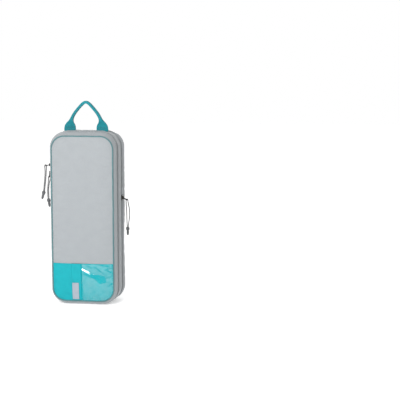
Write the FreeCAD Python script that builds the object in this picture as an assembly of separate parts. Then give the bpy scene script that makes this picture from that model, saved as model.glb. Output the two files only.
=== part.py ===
"""A slim compression packing cube, standing on its bottom end.

Millimetres, +Z up, the front faces -Y. The origin is the centre of the face that it stands on.
A lid closes the front with a zip round three sides, and a second zip round the whole depth
takes up or lets out a folded band of cloth, so the front half moves away from the rear half.
"""
import FreeCAD, Part
import math
import os

V = FreeCAD.Vector
far = 600.0                 # well past everything

# The box of cloth, measured between the centre lines of its piping.
seam_width = 131.5
seam_height = 350.0
seam_radius = 27.0
depth = 85.0
end_swell = 9.0             # how far the stuffed side bands stand out at the top and bottom
piping_radius = 1.6
cloth = 1.2

# Along the depth: each zip has a middle line, and its two tapes end zip_half from it.
main_zip_y = -21.5
squeeze_zip_y = 10.0
zip_half = 6.0
main_swell = 5.5            # how far the sides stand out at each zip
squeeze_swell = 7.5
coil_gap = 0.6              # from the middle line to the near side of each coil
coil_width = 1.9
coil_depth = 2.4
tape_thickness = 0.8
tape_drop = 0.6             # the tape lies this far below the crown of the coil

# The lid.
panel_inset = 1.7
lower_panel_top = 90.0      # height of the seam between the two front panels
fold_strip_half = 36.0      # the main zip stops this far from the middle of the bottom, on each side
strip_left = -24.0
strip_right = -2.7
window_left = -1.2
window_top = 88.5
window_thickness = 0.5
strip_thickness = 0.8
label_size = (14.0, 1.2, 36.0)
label_low = (-22.4, 13.0)   # x and z of its lower left corner
tab_length = 9.0
tab_half = 5.0
tab_thickness = 0.8
floor_trim = 0.06           # the middle band is this much larger, then trimmed flat at the floor

# The binding over each seam inside, and the hood that the second zip's slider parks against.
binding_run = (1.2, 7.0)    # from the seam, along the depth
binding_thickness = 1.0
binding_drop = 1.5
garage_z = (233.0, 246.0)
garage_height = 3.0
garage_half = 5.0
garage_round = 1.2

# The fold of cloth behind the second zip. It is sewn to the edges of both tapes and leaves a
# channel for the slider's inner plate.
channel_half = 5.8
channel_wall = 1.0
channel_drop = 1.45
channel_depth = 3.4
channel_floor = 0.8
fold_depth = 11.0
fold_half = 1.8

# The handle, of webbing folded lengthwise between two flat feet. Its stations go up one leg:
# x, height above the band, width across the strap, depth, and lean from upright in radians.
handle_y = -6.0
foot_centre = 35.0
foot_clearance = 1.1        # between the foot of the strap and the band that it is sewn to
handle_stations = [(35.0, -3.0, 24.0, 1.6, 0.0), (35.0, 8.0, 24.0, 2.2, 0.0), (34.4, 15.0, 18.7, 4.5, 0.1),
                   (31.5, 25.5, 6.2, 11.0, 0.35), (25.0, 39.5, 6.2, 11.0, 0.58),
                   (14.5, 51.8, 6.2, 11.0, 0.82), (6.0, 58.7, 6.2, 11.0, 1.08),
                   (0.0, 60.9, 6.2, 11.0, math.pi / 2)]
bartack_heights = (3.4, 5.6)
bartack_size = (16.0, 0.5, 1.5)
bartack_stand = 1.2         # from the middle of the strap to the near face of the bartack

# Sliders and pulls. A pull is a wire bail, a doubled cord and a moulded end.
slider_length = 12.0
slider_half_widths = (3.3, 4.3)   # at its narrow and at its wide end
slider_corner = 1.4
slider_play = 0.25
plate = 1.2
inner_plate = 1.0
bite = 0.2                  # how far the parts of the casting run into each other
post_half = 0.4
post_run = (2.6, 4.8)       # from the slider's middle, towards its wide end
lip_clearance = 0.4
crown_half_width = 1.2
crown_half_length = 3.4
crown_height = 3.4
crown_round = 1.6
pivot_out = 2.9             # the bail's pivot, outwards from the crown of the coil
bail_length = 10.0
bail_width = 8.4
bail_wire = 0.75            # radius
bail_corner = 1.5
bail_play = 0.25
cord_diameter = 1.8
slider_heights = {"upper": 296.5, "lower": 280.0, "compression": 225.0}
bail_angles = {"upper": 76.0, "lower": 10.0, "compression": 60.0}   # from straight down, outwards
end_tilts = {"upper": 15.0, "lower": -7.0, "compression": 0.0}
end_gap = 0.12              # between the cord and the moulded end

# Each cord leaves its moulded end, goes over the outer bar of the bail and comes back.
# The points are (outwards, upwards) from the centre of that bar.
cord_routes = {
    "upper": [(3.2, -54.3), (2.0, -44.0), (0.3, -30.0), (-0.9, -15.5), (-1.5, -6.5), (-2.0, -2.2),
              (-2.0, 1.155), (0.0, 2.309), (2.0, 1.155), (2.0, -2.2), (1.5, -6.5), (1.3, -15.0),
              (2.5, -30.0), (4.1, -43.5), (5.2, -53.8)],
    "lower": [(1.2, -45.9), (1.9, -37.5), (2.4, -26.0), (0.9, -14.0), (-1.0, -6.2), (-2.0, -2.2),
              (-2.0, 1.155), (0.0, 2.309), (2.0, 1.155), (2.0, -2.2), (2.2, -6.0), (3.1, -14.5),
              (4.5, -26.0), (4.0, -37.0), (3.2, -46.15)],
    "compression": [(0.3, -58.0), (-0.4, -48.0), (-0.6, -34.0), (-1.0, -19.0), (-1.8, -8.0),
                    (-2.0, -2.6), (-2.0, 1.155), (0.0, 2.309), (2.0, 1.155), (2.0, -2.6), (3.0, -8.0),
                    (5.2, -19.0), (5.9, -34.0), (3.6, -47.5), (2.3, -58.0)],
}

low_seam = end_swell
high_seam = end_swell + seam_height
seam_y = depth / 2
band_edge_y = seam_y - piping_radius - 0.2

# The side bands, front to back: y, how far out at the sides, how far out at the ends.
front_band = [(-band_edge_y, -0.5, -0.9), (-37.0, 2.6, 4.8), (-32.0, 4.8, 8.1),
              (main_zip_y - zip_half, main_swell, end_swell)]
main_zone = [(main_zip_y - zip_half, main_swell, end_swell), (main_zip_y + zip_half, main_swell, end_swell)]
middle_band = [(main_zip_y + zip_half, main_swell, end_swell),
               (squeeze_zip_y - zip_half, squeeze_swell, end_swell)]
rear_band = [(squeeze_zip_y + zip_half, squeeze_swell, end_swell), (25.0, 6.8, 8.6), (34.0, 4.2, 6.2),
             (band_edge_y, -0.5, -0.9)]


def outline(y, side, end):
    """A rounded rectangle in the plane y, grown from the piping's line by side and end."""
    half = seam_width / 2 + side
    low = low_seam - end
    high = high_seam + end
    r = seam_radius + (side + end) / 2
    k = r * (1 - math.sqrt(0.5))
    corners = [(half, high, -1, -1), (half, low, -1, 1), (-half, low, 1, 1), (-half, high, 1, -1)]
    arcs = []
    for number, (x, z, sx, sz) in enumerate(corners):
        along_z = V(x, y, z + sz * r)
        along_x = V(x + sx * r, y, z)
        middle = V(x + sx * k, y, z + sz * k)
        first, last = (along_x, along_z) if number % 2 == 0 else (along_z, along_x)
        arcs.append(Part.Arc(first, middle, last).toShape())
    edges = []
    for number, arc in enumerate(arcs):
        following = arcs[(number + 1) % 4]
        start = arc.Vertexes[-1].Point
        edges.append(arc)
        edges.append(Part.makeLine(start, following.Vertexes[0].Point))
    return Part.Wire(edges)


def loft(wires):
    return Part.makeLoft(wires, True, True)


def band(stations, thickness=cloth, drop=0.0):
    """A band of cloth right round, through stations of (y, side, end), drop below their surface."""
    outer = loft([outline(y, side - drop, end - drop) for y, side, end in stations])
    inside = drop + thickness
    inner = loft([outline(y, side - inside, end - inside) for y, side, end in stations])
    return outer.cut(inner)


def flat_band(y_low, y_high, swell, thickness, drop):
    return band([(y_low, swell, end_swell), (y_high, swell, end_swell)], thickness, drop)


def plate_between(y_low, y_high, inset):
    """A flat panel with the piping's outline, less inset all round."""
    return loft([outline(y_low, -inset, -inset), outline(y_high, -inset, -inset)])


def block(x0, x1, y0, y1, z0, z1):
    return Part.makeBox(x1 - x0, y1 - y0, z1 - z0, V(x0, y0, z0))


def above(shape, z):
    return shape.common(block(-far, far, -far, far, z, far))


def below(shape, z):
    return shape.common(block(-far, far, -far, far, -far, z))


def zipped_round(shape):
    """What is left of a ring that stops at the fold strip in the middle of the bottom."""
    return shape.cut(block(-fold_strip_half, fold_strip_half, -far, far, -far, seam_radius))


def tube(wire, radius):
    """A round bar along a wire."""
    edge = wire.OrderedEdges[0]
    start = edge.valueAt(edge.FirstParameter)
    section = Part.Wire(Part.makeCircle(radius, start, edge.tangentAt(edge.FirstParameter)))
    return wire.makePipeShell([section], True, False)


def piping(y):
    return tube(outline(y, 0, 0), piping_radius)


def zip_half_parts(zip_y, side, swell):
    """One tape and one coil of a zip. Side -1 is towards the front, 1 towards the back."""
    near = zip_y + side * coil_gap
    middle = zip_y + side * (coil_gap + coil_width)
    edge = zip_y + side * zip_half
    coil = flat_band(min(near, middle), max(near, middle), swell, coil_depth, 0.0)
    tape = flat_band(min(middle, edge), max(middle, edge), swell, tape_thickness, tape_drop)
    return tape, coil


def smooth_run(points, printed=None):
    """Straight runs joined by tangent arcs, each as large as its two runs allow."""
    edges = []
    last = points[0]
    radii = []
    for before, corner, after in zip(points, points[1:], points[2:]):
        back = before - corner
        on = after - corner
        half_turn = (math.pi - back.getAngle(on)) / 2
        cut = 0.45 * min(back.Length, on.Length)
        radius = cut / math.tan(half_turn)
        radii.append(radius)
        start = corner + V(back).normalize() * cut
        end = corner + V(on).normalize() * cut
        centre_way = (V(back).normalize() + V(on).normalize()).normalize()
        middle = corner + centre_way * (radius / math.cos(half_turn) - radius)
        edges.append(Part.makeLine(last, start))
        edges.append(Part.Arc(start, middle, end).toShape())
        last = end
    edges.append(Part.makeLine(last, points[-1]))
    if printed:
        print(printed, "arc radii", [round(r, 1) for r in radii])
    return Part.Wire(edges)


def cord(points, diameter, name):
    wire = smooth_run(points, name)
    solid = tube(wire, diameter / 2)
    expected = math.pi * diameter ** 2 / 4 * wire.Length
    print(name, "length", round(wire.Length, 1), "volume ratio", round(solid.Volume / expected, 4))
    return solid


# Sliders and pulls are made for the right side, with x outwards from the crown of the coil,
# y across the zip (positive towards the half that the slider stays on) and z along it.

def slider_outline(x_low, x_high, wide_end):
    """The plan of a slider's plate, narrower at the end that follows."""
    half = slider_length / 2
    narrow, wide = slider_half_widths
    corners = [(-narrow, -half), (narrow, -half), (wide, half), (-wide, half)]
    points = [V(x_low, y, z * wide_end) for y, z in corners]
    face = Part.Face(Part.makePolygon(points + points[:1]))
    solid = face.extrude(V(x_high - x_low, 0, 0))
    uprights = [e for e in solid.Edges if abs(e.tangentAt(e.FirstParameter).x) > 0.99]
    return solid.makeFillet(slider_corner, uprights)


def slider_body(wide_end):
    """Two plates with a post between the coils, and lips on the side that the slider stays on."""
    inner_face = -coil_depth - slider_play
    outer = slider_outline(slider_play, slider_play + plate, wide_end)
    inner = slider_outline(inner_face - inner_plate, inner_face, wide_end)
    post_z = sorted(wide_end * z for z in post_run)
    post = block(inner_face - bite, slider_play + bite, -post_half, post_half, *post_z)
    lip_y = coil_gap + coil_width + lip_clearance
    outer_lip = block(-tape_drop + slider_play, slider_play + bite, lip_y, far, -far, far)
    inner_lip = block(inner_face - bite, -tape_drop - tape_thickness - slider_play, lip_y, far, -far, far)
    plan = slider_outline(inner_face - inner_plate, slider_play + plate, wide_end)
    return outer.fuse([inner, post, outer_lip.common(plan), inner_lip.common(plan)]).removeSplitter()


def slider_crown():
    """The cap on the slider that holds the bail."""
    base = slider_play + plate
    top = base + crown_height
    body = block(base, top, -crown_half_width, crown_half_width, -crown_half_length, crown_half_length)
    ends = [e for e in body.Edges
            if abs(e.CenterOfMass.x - top) < 0.01 and abs(e.CenterOfMass.z) > crown_half_length - 0.01]
    body = body.makeFillet(crown_round, ends)
    hole = Part.makeCylinder(bail_wire + bail_play, 2 * far, V(pivot_out, -far, 0), V(0, 1, 0))
    return body.cut(hole)


def bail():
    """A closed wire loop, hanging straight down from its pivot."""
    half = bail_width / 2 - bail_wire
    r = bail_corner
    k = r * (1 - math.sqrt(0.5))
    low = -bail_length
    edges = []
    spots = [(half, 0, -1, -1), (half, low, -1, 1), (-half, low, 1, 1), (-half, 0, 1, -1)]
    arcs = []
    for number, (y, z, sy, sz) in enumerate(spots):
        upright = V(pivot_out, y, z + sz * r)
        level = V(pivot_out, y + sy * r, z)
        middle = V(pivot_out, y + sy * k, z + sz * k)
        first, last = (level, upright) if number % 2 == 0 else (upright, level)
        arcs.append(Part.Arc(first, middle, last).toShape())
    for number, arc in enumerate(arcs):
        edges.append(arc)
        edges.append(Part.makeLine(arc.Vertexes[-1].Point, arcs[(number + 1) % 4].Vertexes[0].Point))
    edges = edges[1:] + edges[:1]
    return tube(Part.Wire(edges), bail_wire)


def moulded_end():
    """The stop on the cord: shoulders, a waist and a tapered tip, hanging from z = 0."""
    sections = [(0.0, 2.4, 1.7), (-1.0, 3.4, 2.2), (-3.0, 3.9, 2.5), (-6.0, 3.6, 2.4), (-8.0, 2.5, 2.0),
                (-11.0, 2.7, 2.1), (-15.0, 2.3, 1.9), (-18.0, 1.4, 1.2)]
    wires = []
    for z, half_x, half_y in sections:
        curve = Part.Ellipse(V(0, 0, z), half_x, half_y)
        wires.append(Part.Wire(curve.toShape()))
    return loft(wires)


def turned_outwards(shape, angle, pivot):
    """Turned about the y direction through pivot, so that a hanging piece swings outwards."""
    shape = shape.copy()
    shape.rotate(pivot, V(0, -1, 0), angle)
    return shape


def pull_parts(name, wide_end):
    """The pieces of one slider and its pull, in the slider's own frame."""
    pivot = V(pivot_out, 0, 0)
    angle = bail_angles[name]
    reach = V(math.sin(math.radians(angle)), 0, -math.cos(math.radians(angle))) * bail_length
    bar = pivot + reach
    route = [bar + V(out, 0, up) for out, up in cord_routes[name]]
    top = (route[0] + route[-1]) * 0.5 - V(0, 0, end_gap)
    end = moulded_end()
    end.translate(top)
    end = turned_outwards(end, end_tilts[name], top)
    return {
        "slider": slider_body(wide_end),
        "slider_crown": slider_crown(),
        "pull_bail": turned_outwards(bail(), angle, pivot),
        "pull_cord": cord(route, cord_diameter, name + "_pull_cord"),
        "pull_end": end,
    }


def on_zip(shape, side, swell, zip_y, z):
    """From the slider's frame to its place on the zip, on the side x = side."""
    shape = shape.copy()
    if side < 0:
        shape = shape.mirror(V(0, 0, 0), V(1, 0, 0))
    shape.translate(V(side * (seam_width / 2 + swell), zip_y, z))
    return shape


def seam_binding(end):
    """The woven tape over the cut edges inside a seam. End -1 is the front, 1 the back."""
    first, last = binding_run
    stations = [(end * (seam_y - first), -panel_inset, -panel_inset), (end * (seam_y - last), -0.5, -0.5)]
    return band(sorted(stations), binding_thickness, binding_drop)


def squeeze_band(half, thickness, drop):
    """A band centred on the second zip."""
    return flat_band(squeeze_zip_y - half, squeeze_zip_y + half, squeeze_swell, thickness, drop)


def expansion_fold():
    """A channel round the slider's inner plate, and the folded cloth behind it."""
    channel = squeeze_band(channel_half, channel_depth, channel_drop)
    hollow = squeeze_band(channel_half - channel_wall, channel_depth - channel_floor, channel_drop)
    fold = squeeze_band(fold_half, fold_depth + channel_floor, channel_drop + channel_depth - channel_floor)
    return channel.cut(hollow).fuse(fold).removeSplitter()


def rear_pieces():
    squeeze_tape, squeeze_coil = zip_half_parts(squeeze_zip_y, 1, squeeze_swell)
    inner_face = seam_width / 2 + squeeze_swell + 0.05
    outer_face = inner_face + garage_height
    garage = block(inner_face, outer_face, squeeze_zip_y - garage_half, squeeze_zip_y + garage_half,
                   *garage_z)
    outer_edges = [e for e in garage.Edges if e.CenterOfMass.x > outer_face - 0.1]
    garage = garage.makeFillet(garage_round, outer_edges)
    return {
        "back_panel": plate_between(seam_y - 0.6, seam_y + 0.6, panel_inset),
        "rear_piping": piping(seam_y),
        "rear_gusset": band(rear_band),
        "rear_seam_binding": seam_binding(1),
        "compression_zip_tape_rear": squeeze_tape,
        "compression_zip_coil_rear": squeeze_coil,
        "expansion_gusset": expansion_fold(),
        "compression_zip_garage": garage,
    }


def frame_pieces():
    squeeze_tape, squeeze_coil = zip_half_parts(squeeze_zip_y, -1, squeeze_swell)
    main_tape, main_coil = zip_half_parts(main_zip_y, 1, main_swell)
    strip_edge = fold_strip_half - 0.3
    bottom = band(front_band + main_zone[1:])
    bottom = bottom.common(block(-strip_edge, strip_edge, -far, far, -far, seam_radius))
    tabs = []
    tab_low = cloth + 0.05
    for side in (-1, 1):
        x0, x1 = sorted((side * (strip_edge - tab_length), side * strip_edge))
        tabs.append(block(x0, x1, main_zip_y - tab_half, main_zip_y + tab_half,
                          tab_low, tab_low + tab_thickness))
    lowered = [(y, side, end + floor_trim) for y, side, end in middle_band]
    middle = above(band(lowered), 0)
    return {
        "compression_zip_tape_front": squeeze_tape,
        "compression_zip_coil_front": squeeze_coil,
        "middle_gusset": middle,
        "main_zip_tape_rear": zipped_round(main_tape),
        "main_zip_coil_rear": zipped_round(main_coil),
        "bottom_gusset": bottom,
        "main_zip_end_tabs": Part.makeCompound(tabs),
    }


def lid_pieces():
    main_tape, main_coil = zip_half_parts(main_zip_y, -1, main_swell)
    front = plate_between(-seam_y - 0.6, -seam_y + 0.6, panel_inset)
    face = -seam_y - 0.6
    whole = plate_between(face - 10, face, panel_inset + 0.2)
    window = block(window_left, 100, face - window_thickness, face, 0, window_top).common(whole)
    strip = block(strip_left, strip_right, face - strip_thickness, face, 0, lower_panel_top).common(whole)
    label_face = face - strip_thickness
    x, z = label_low
    label = block(x, x + label_size[0], label_face - label_size[1], label_face, z, z + label_size[2])
    uprights = [e for e in label.Edges if abs(e.tangentAt(e.FirstParameter).y) > 0.99]
    return {
        "front_panel": above(front, lower_panel_top),
        "lower_front_panel": below(front, lower_panel_top),
        "clear_window": window,
        "window_strip": strip,
        "label_tab": label.makeFillet(1.5, uprights),
        "front_piping": piping(-seam_y),
        "lid_gusset": zipped_round(band(front_band)),
        "main_zip_tape_front": zipped_round(main_tape),
        "main_zip_coil_front": zipped_round(main_coil),
        "front_seam_binding": zipped_round(seam_binding(-1)),
    }


def section(x, z, across, deep, tilt):
    """A rectangle with the strap's size at one place of the handle, square to the strap."""
    along = V(math.cos(tilt), 0, math.sin(tilt)) * (across / 2)
    back = V(0, deep / 2, 0)
    centre = V(x, handle_y, z)
    points = [centre - along - back, centre + along - back, centre + along + back, centre - along + back]
    return Part.makePolygon(points + points[:1])


def handle_leg(side, top):
    """One foot and half of the grip, up to the middle of the handle."""
    return loft([section(side * x, top + height, across, deep, side * lean)
                 for x, height, across, deep, lean in handle_stations])


def handle_pieces():
    top = high_seam + end_swell
    strap = handle_leg(1, top).fuse(handle_leg(-1, top)).removeSplitter()
    lift = end_swell + foot_clearance
    strap = strap.cut(loft([outline(y, main_swell + foot_clearance, lift) for y in (-40, 40)]))
    width, thickness, height = bartack_size
    face = handle_y - bartack_stand
    bartacks = []
    for x in (-foot_centre, foot_centre):
        for low in bartack_heights:
            low += top
            bartacks.append(block(x - width / 2, x + width / 2, face - thickness, face, low, low + height))
    return {"handle_strap": strap, "handle_bartacks": Part.makeCompound(bartacks)}


def slider_pieces():
    places = {
        "upper": (-1, main_swell, main_zip_y, -1),
        "lower": (-1, main_swell, main_zip_y, 1),
        "compression": (1, squeeze_swell, squeeze_zip_y, 1),
    }
    pieces = {}
    for name, (side, swell, zip_y, wide_end) in places.items():
        for piece, shape in pull_parts(name, wide_end).items():
            pieces[name + "_" + piece] = on_zip(shape, side, swell, zip_y, slider_heights[name])
    return pieces


def main():
    os.makedirs("parts", exist_ok=True)
    for group in (rear_pieces, frame_pieces, lid_pieces, handle_pieces, slider_pieces):
        for name, shape in group().items():
            assert shape.isValid() and shape.Volume > 0, name
            shape.exportStep(os.path.join("parts", name + ".step"))
            box = shape.optimalBoundingBox()
            print(name, "solids", len(shape.Solids), "volume", round(shape.Volume),
                  "x", round(box.XMin, 1), round(box.XMax, 1), "y", round(box.YMin, 1), round(box.YMax, 1),
                  "z", round(box.ZMin, 1), round(box.ZMax, 1))


main()
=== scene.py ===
"""The looks of a slim compression packing cube: stuffed cloth, zips, pulls, window and handle."""
import math

import bmesh
import bpy
from mathutils import Matrix, Vector, noise
from mathutils.bvhtree import BVHTree


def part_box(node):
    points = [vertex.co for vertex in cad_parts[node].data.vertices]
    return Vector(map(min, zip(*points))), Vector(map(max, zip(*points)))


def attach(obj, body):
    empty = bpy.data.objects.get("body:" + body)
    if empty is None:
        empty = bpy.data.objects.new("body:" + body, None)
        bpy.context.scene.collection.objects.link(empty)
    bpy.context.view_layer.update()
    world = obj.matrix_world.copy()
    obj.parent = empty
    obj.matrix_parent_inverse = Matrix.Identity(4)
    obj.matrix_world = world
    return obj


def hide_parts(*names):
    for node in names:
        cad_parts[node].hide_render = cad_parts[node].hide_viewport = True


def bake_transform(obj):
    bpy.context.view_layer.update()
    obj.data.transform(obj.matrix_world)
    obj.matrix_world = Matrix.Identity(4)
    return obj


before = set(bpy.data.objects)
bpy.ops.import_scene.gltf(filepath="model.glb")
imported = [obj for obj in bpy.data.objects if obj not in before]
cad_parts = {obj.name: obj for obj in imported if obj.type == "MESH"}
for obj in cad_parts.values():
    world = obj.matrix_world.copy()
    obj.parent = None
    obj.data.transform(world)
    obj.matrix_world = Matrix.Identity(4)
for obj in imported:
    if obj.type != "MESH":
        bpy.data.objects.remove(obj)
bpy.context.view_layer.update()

MM = 0.001

# ---------------------------------------------------------------- sizes taken from the frame

piping_low, piping_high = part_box("front_piping")
rear_piping_low, rear_piping_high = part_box("rear_piping")
piping_radius = (piping_high.y - piping_low.y) / 2
front_seam_y = (piping_low.y + piping_high.y) / 2
rear_seam_y = (rear_piping_low.y + rear_piping_high.y) / 2
half_width = piping_high.x - piping_radius
low_seam_z = piping_low.z + piping_radius
high_seam_z = piping_high.z - piping_radius
mid_z = (low_seam_z + high_seam_z) / 2
half_height = (high_seam_z - low_seam_z) / 2
corner_radius = 27 * MM
end_swell = low_seam_z

main_coil_low, main_coil_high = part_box("main_zip_coil_front")
squeeze_coil_low, squeeze_coil_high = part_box("compression_zip_coil_front")
coil_gap = 0.6 * MM
main_zip_y = main_coil_high.y + coil_gap
squeeze_zip_y = squeeze_coil_high.y + coil_gap
main_swell = main_coil_high.x - half_width
squeeze_swell = squeeze_coil_high.x - half_width
zip_half = 6 * MM
seam_between_panels_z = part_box("front_panel")[0].z
fold_strip_half = 36 * MM

# ---------------------------------------------------------------- camera, light and floor


def place_camera():
    """The view from in front, a little to the right and above, with a long lens."""
    azimuth = math.radians(8.1)
    elevation = math.radians(7.3)
    distance = 2.528
    target = Vector((0.2436, 0, 0.2241))
    away = Vector((math.sin(azimuth) * math.cos(elevation),
                   -math.cos(azimuth) * math.cos(elevation),
                   math.sin(elevation)))
    data = bpy.data.cameras.new("camera")
    data.lens = 108
    data.sensor_width = 36
    camera = bpy.data.objects.new("camera", data)
    bpy.context.scene.collection.objects.link(camera)
    camera.location = target + away * distance
    camera.rotation_euler = away.to_track_quat("Z", "Y").to_euler()
    bpy.context.scene.camera = camera


def soft_light(name, place, size, power):
    data = bpy.data.lights.new(name, "AREA")
    data.shape = "RECTANGLE"
    data.size, data.size_y = size
    data.energy = power
    light = bpy.data.objects.new(name, data)
    bpy.context.scene.collection.objects.link(light)
    light.location = place
    aim = Vector(place) - Vector((0, 0, 0.2))
    light.rotation_euler = aim.to_track_quat("Z", "Y").to_euler()
    return light


def light_studio():
    """A white room, dimmer in front and to the right, with three soft boxes."""
    world = bpy.data.worlds.new("studio")
    bpy.context.scene.world = world
    world.use_nodes = True
    tree = world.node_tree
    way = add(tree, "SeparateXYZ", add(tree, "TexCoord").outputs["Generated"]).outputs
    behind = add(tree, "MapRange", way[1], From_Min=-0.2, From_Max=0.6, To_Min=0.6, To_Max=1.0)
    right = add(tree, "MapRange", way[0], From_Min=0.15, From_Max=0.8, To_Min=1.0, To_Max=0.42)
    strength = add(tree, "Math", behind, right, operation="MULTIPLY")
    tree.links.new(strength.outputs[0], tree.nodes["Background"].inputs["Strength"])
    tree.nodes["Background"].inputs["Color"].default_value = (1, 1, 1, 1)
    soft_light("key_softbox", (-0.1, -1.9, 1.25), (0.8, 0.6), 34)
    soft_light("left_softbox", (-1.5, -1.3, 0.9), (0.6, 1.2), 5)
    soft_light("top_softbox", (0.0, 0.3, 1.9), (1.2, 0.9), 3)
    bpy.context.scene.view_settings.view_transform = "Standard"


# ---------------------------------------------------------------- materials


def linear(hex_colour):
    """An sRGB hex colour as linear RGBA."""
    parts = [int(hex_colour[i:i + 2], 16) / 255 for i in (1, 3, 5)]
    return tuple([p / 12.92 if p <= 0.04045 else ((p + 0.055) / 1.055) ** 2.4 for p in parts] + [1.0])


def add(tree, kind, *inputs, **named):
    """One node. Values, sockets and nodes go to its inputs, in order or by name.

    A name in small letters is a setting instead.
    """
    node = tree.nodes.new("ShaderNode" + kind)
    places = dict(enumerate(inputs))
    for name, value in named.items():
        if name[0].islower():
            setattr(node, name, value)
        else:
            places[name.replace("_", " ")] = value
    for place, value in places.items():
        if isinstance(value, bpy.types.Node):
            value = value.outputs[0]
        if isinstance(value, bpy.types.NodeSocket):
            tree.links.new(value, node.inputs[place])
        else:
            node.inputs[place].default_value = value
    return node


def new_material(name, colour, roughness, **values):
    """A material with a Principled shader. Returns it with its tree and shader."""
    material = bpy.data.materials.new(name)
    material.use_nodes = True
    tree = material.node_tree
    shader = tree.nodes["Principled BSDF"]
    shader.inputs["Base Color"].default_value = linear(colour)
    shader.inputs["Roughness"].default_value = roughness
    for key, value in values.items():
        shader.inputs[key.replace("_", " ")].default_value = value
    return material, tree, shader


def surface(tree, shader, share, light, dark, height=None, strength=0.0, depth=0.0):
    """Colour a surface between two hex colours by share, and raise it by height, over a depth."""
    colour = add(tree, "Mix", share, data_type="RGBA")
    for socket, hex_colour in zip(colour.inputs[6:8], (light, dark)):
        socket.default_value = linear(hex_colour)
    tree.links.new(colour.outputs[2], shader.inputs["Base Color"])
    if height:
        bump = add(tree, "Bump", Strength=strength, Distance=depth, Height=height)
        tree.links.new(bump.outputs[0], shader.inputs["Normal"])


def cloth_directions(tree):
    """The piece's own UV map, in metres along the cloth, and its two directions."""
    place = add(tree, "TexCoord").outputs["UV"]
    return place, *add(tree, "SeparateXYZ", place).outputs[:2]


def wave(tree, value, pitch):
    """A sine of value with that pitch, from -1 to 1."""
    return add(tree, "Math", add(tree, "Math", value, 2 * math.pi / pitch, operation="MULTIPLY"),
               operation="SINE")


def ripstop(name, light, dark):
    """Ripstop polyester, woven with a raised diamond grid: a soft sheen and a fine pattern."""
    material, tree, shader = new_material(name, light, 0.62, Sheen_Weight=0.25, Sheen_Roughness=0.45)
    diamond = 2.6 * MM      # across one diamond; the real grid is about this size
    thread = 0.42 * MM      # real threads are about 0.2 mm, drawn coarser so that they show
    place, along, across = cloth_directions(tree)
    rising = wave(tree, add(tree, "Math", along, across, operation="ADD"), diamond)
    falling = wave(tree, add(tree, "Math", along, across, operation="SUBTRACT"), diamond)
    grid = add(tree, "Math", add(tree, "Math", rising, falling, operation="MAXIMUM"), 0.0,
               operation="MAXIMUM")
    ridge = add(tree, "Math", grid, 3.0, operation="POWER")
    weave = add(tree, "Math", wave(tree, along, thread), wave(tree, across, thread), operation="MULTIPLY")
    grid_shade = add(tree, "Math", ridge, 0.42, 0.16, operation="MULTIPLY_ADD")
    uneven = add(tree, "TexNoise", Vector=place, Scale=55.0, Detail=3.0)
    shade = add(tree, "Math", uneven, 0.25, grid_shade, operation="MULTIPLY_ADD")
    fine = add(tree, "Math", weave, 0.25, operation="MULTIPLY")
    height = add(tree, "Math", ridge, 0.5, fine, operation="MULTIPLY_ADD")
    surface(tree, shader, shade, light, dark, height, 0.35, 0.12 * MM)
    return material


def plain_weave(name, light, dark, thread, roughness, sheen=0.2, strength=0.3, specular=0.4):
    """Plain-woven cloth: threads over and under each other, a little uneven in colour."""
    material, tree, shader = new_material(name, light, roughness, Sheen_Weight=sheen, Sheen_Roughness=0.4,
                                          Specular_IOR_Level=specular)
    place, along, across = cloth_directions(tree)
    weave = add(tree, "Math", wave(tree, along, thread), wave(tree, across, thread), operation="MULTIPLY")
    uneven = add(tree, "TexNoise", Vector=place, Scale=70.0, Detail=3.0)
    shade = add(tree, "Math", weave, 0.18, uneven, operation="MULTIPLY_ADD")
    surface(tree, shader, shade, light, dark, weave, strength, 0.1 * MM)
    return material


def ribbed_webbing(name, light, dark):
    """Woven nylon webbing: fine ribs across its width, a slight shine on their tops, and painted shade in
    the grooves between them.
    """
    material, tree, shader = new_material(name, light, 0.5, Sheen_Weight=0.08, Sheen_Roughness=0.35,
                                          Specular_IOR_Level=0.25)
    rib = 1.1 * MM
    strand = 0.9 * MM
    place, along, across = cloth_directions(tree)
    bent = add(tree, "Math", wave(tree, across, strand * 2), rib * 0.18, along, operation="MULTIPLY_ADD")
    ribs = wave(tree, bent, rib)
    uneven = add(tree, "TexNoise", Vector=place, Scale=90.0, Detail=3.0)
    # Painted shade: the colour is darker in the grooves between the ribs and lighter on their tops.
    shade = add(tree, "Math", ribs, -0.22, uneven, operation="MULTIPLY_ADD")
    height = add(tree, "Math", wave(tree, across, strand), 0.4, ribs, operation="MULTIPLY_ADD")
    surface(tree, shader, shade, light, dark, height, 0.5, 0.15 * MM)
    return material


def moulded(name, light, dark, roughness):
    """Moulded plastic or rubber: a fine even grain from the tool, slightly uneven in gloss."""
    material, tree, shader = new_material(name, light, roughness)
    place = add(tree, "TexCoord").outputs["Object"]
    fine = add(tree, "TexNoise", Vector=place, Scale=900.0, Detail=2.0)
    broad = add(tree, "TexNoise", Vector=place, Scale=120.0, Detail=2.0)
    gloss = add(tree, "MapRange", broad, To_Min=roughness - 0.08, To_Max=roughness + 0.1)
    tree.links.new(gloss.outputs[0], shader.inputs["Roughness"])
    surface(tree, shader, broad, light, dark, fine, 0.25, 0.05 * MM)
    return material


def plated_zinc(name):
    """Die-cast zinc with black nickel plating: dark and glossy, with a painted brassy glint on its sharp
    edges.
    """
    material, tree, shader = new_material(name, "#3A3A3C", 0.28, Metallic=1.0)
    place = add(tree, "TexCoord").outputs["Object"]
    cloud = add(tree, "TexNoise", Vector=place, Scale=350.0, Detail=4.0)
    # Painted highlight: sharp edges are coloured brassy as a glint, broken up by the cloud.
    edge = add(tree, "NewGeometry").outputs["Pointiness"]
    painted_edge_glint = add(tree, "MapRange", edge, From_Min=0.52, From_Max=0.62)
    share = add(tree, "Math", painted_edge_glint, cloud, operation="MULTIPLY")
    gloss = add(tree, "MapRange", cloud, To_Min=0.2, To_Max=0.42)
    tree.links.new(gloss.outputs[0], shader.inputs["Roughness"])
    surface(tree, shader, share, "#38383A", "#9A8E74")
    return material


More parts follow.
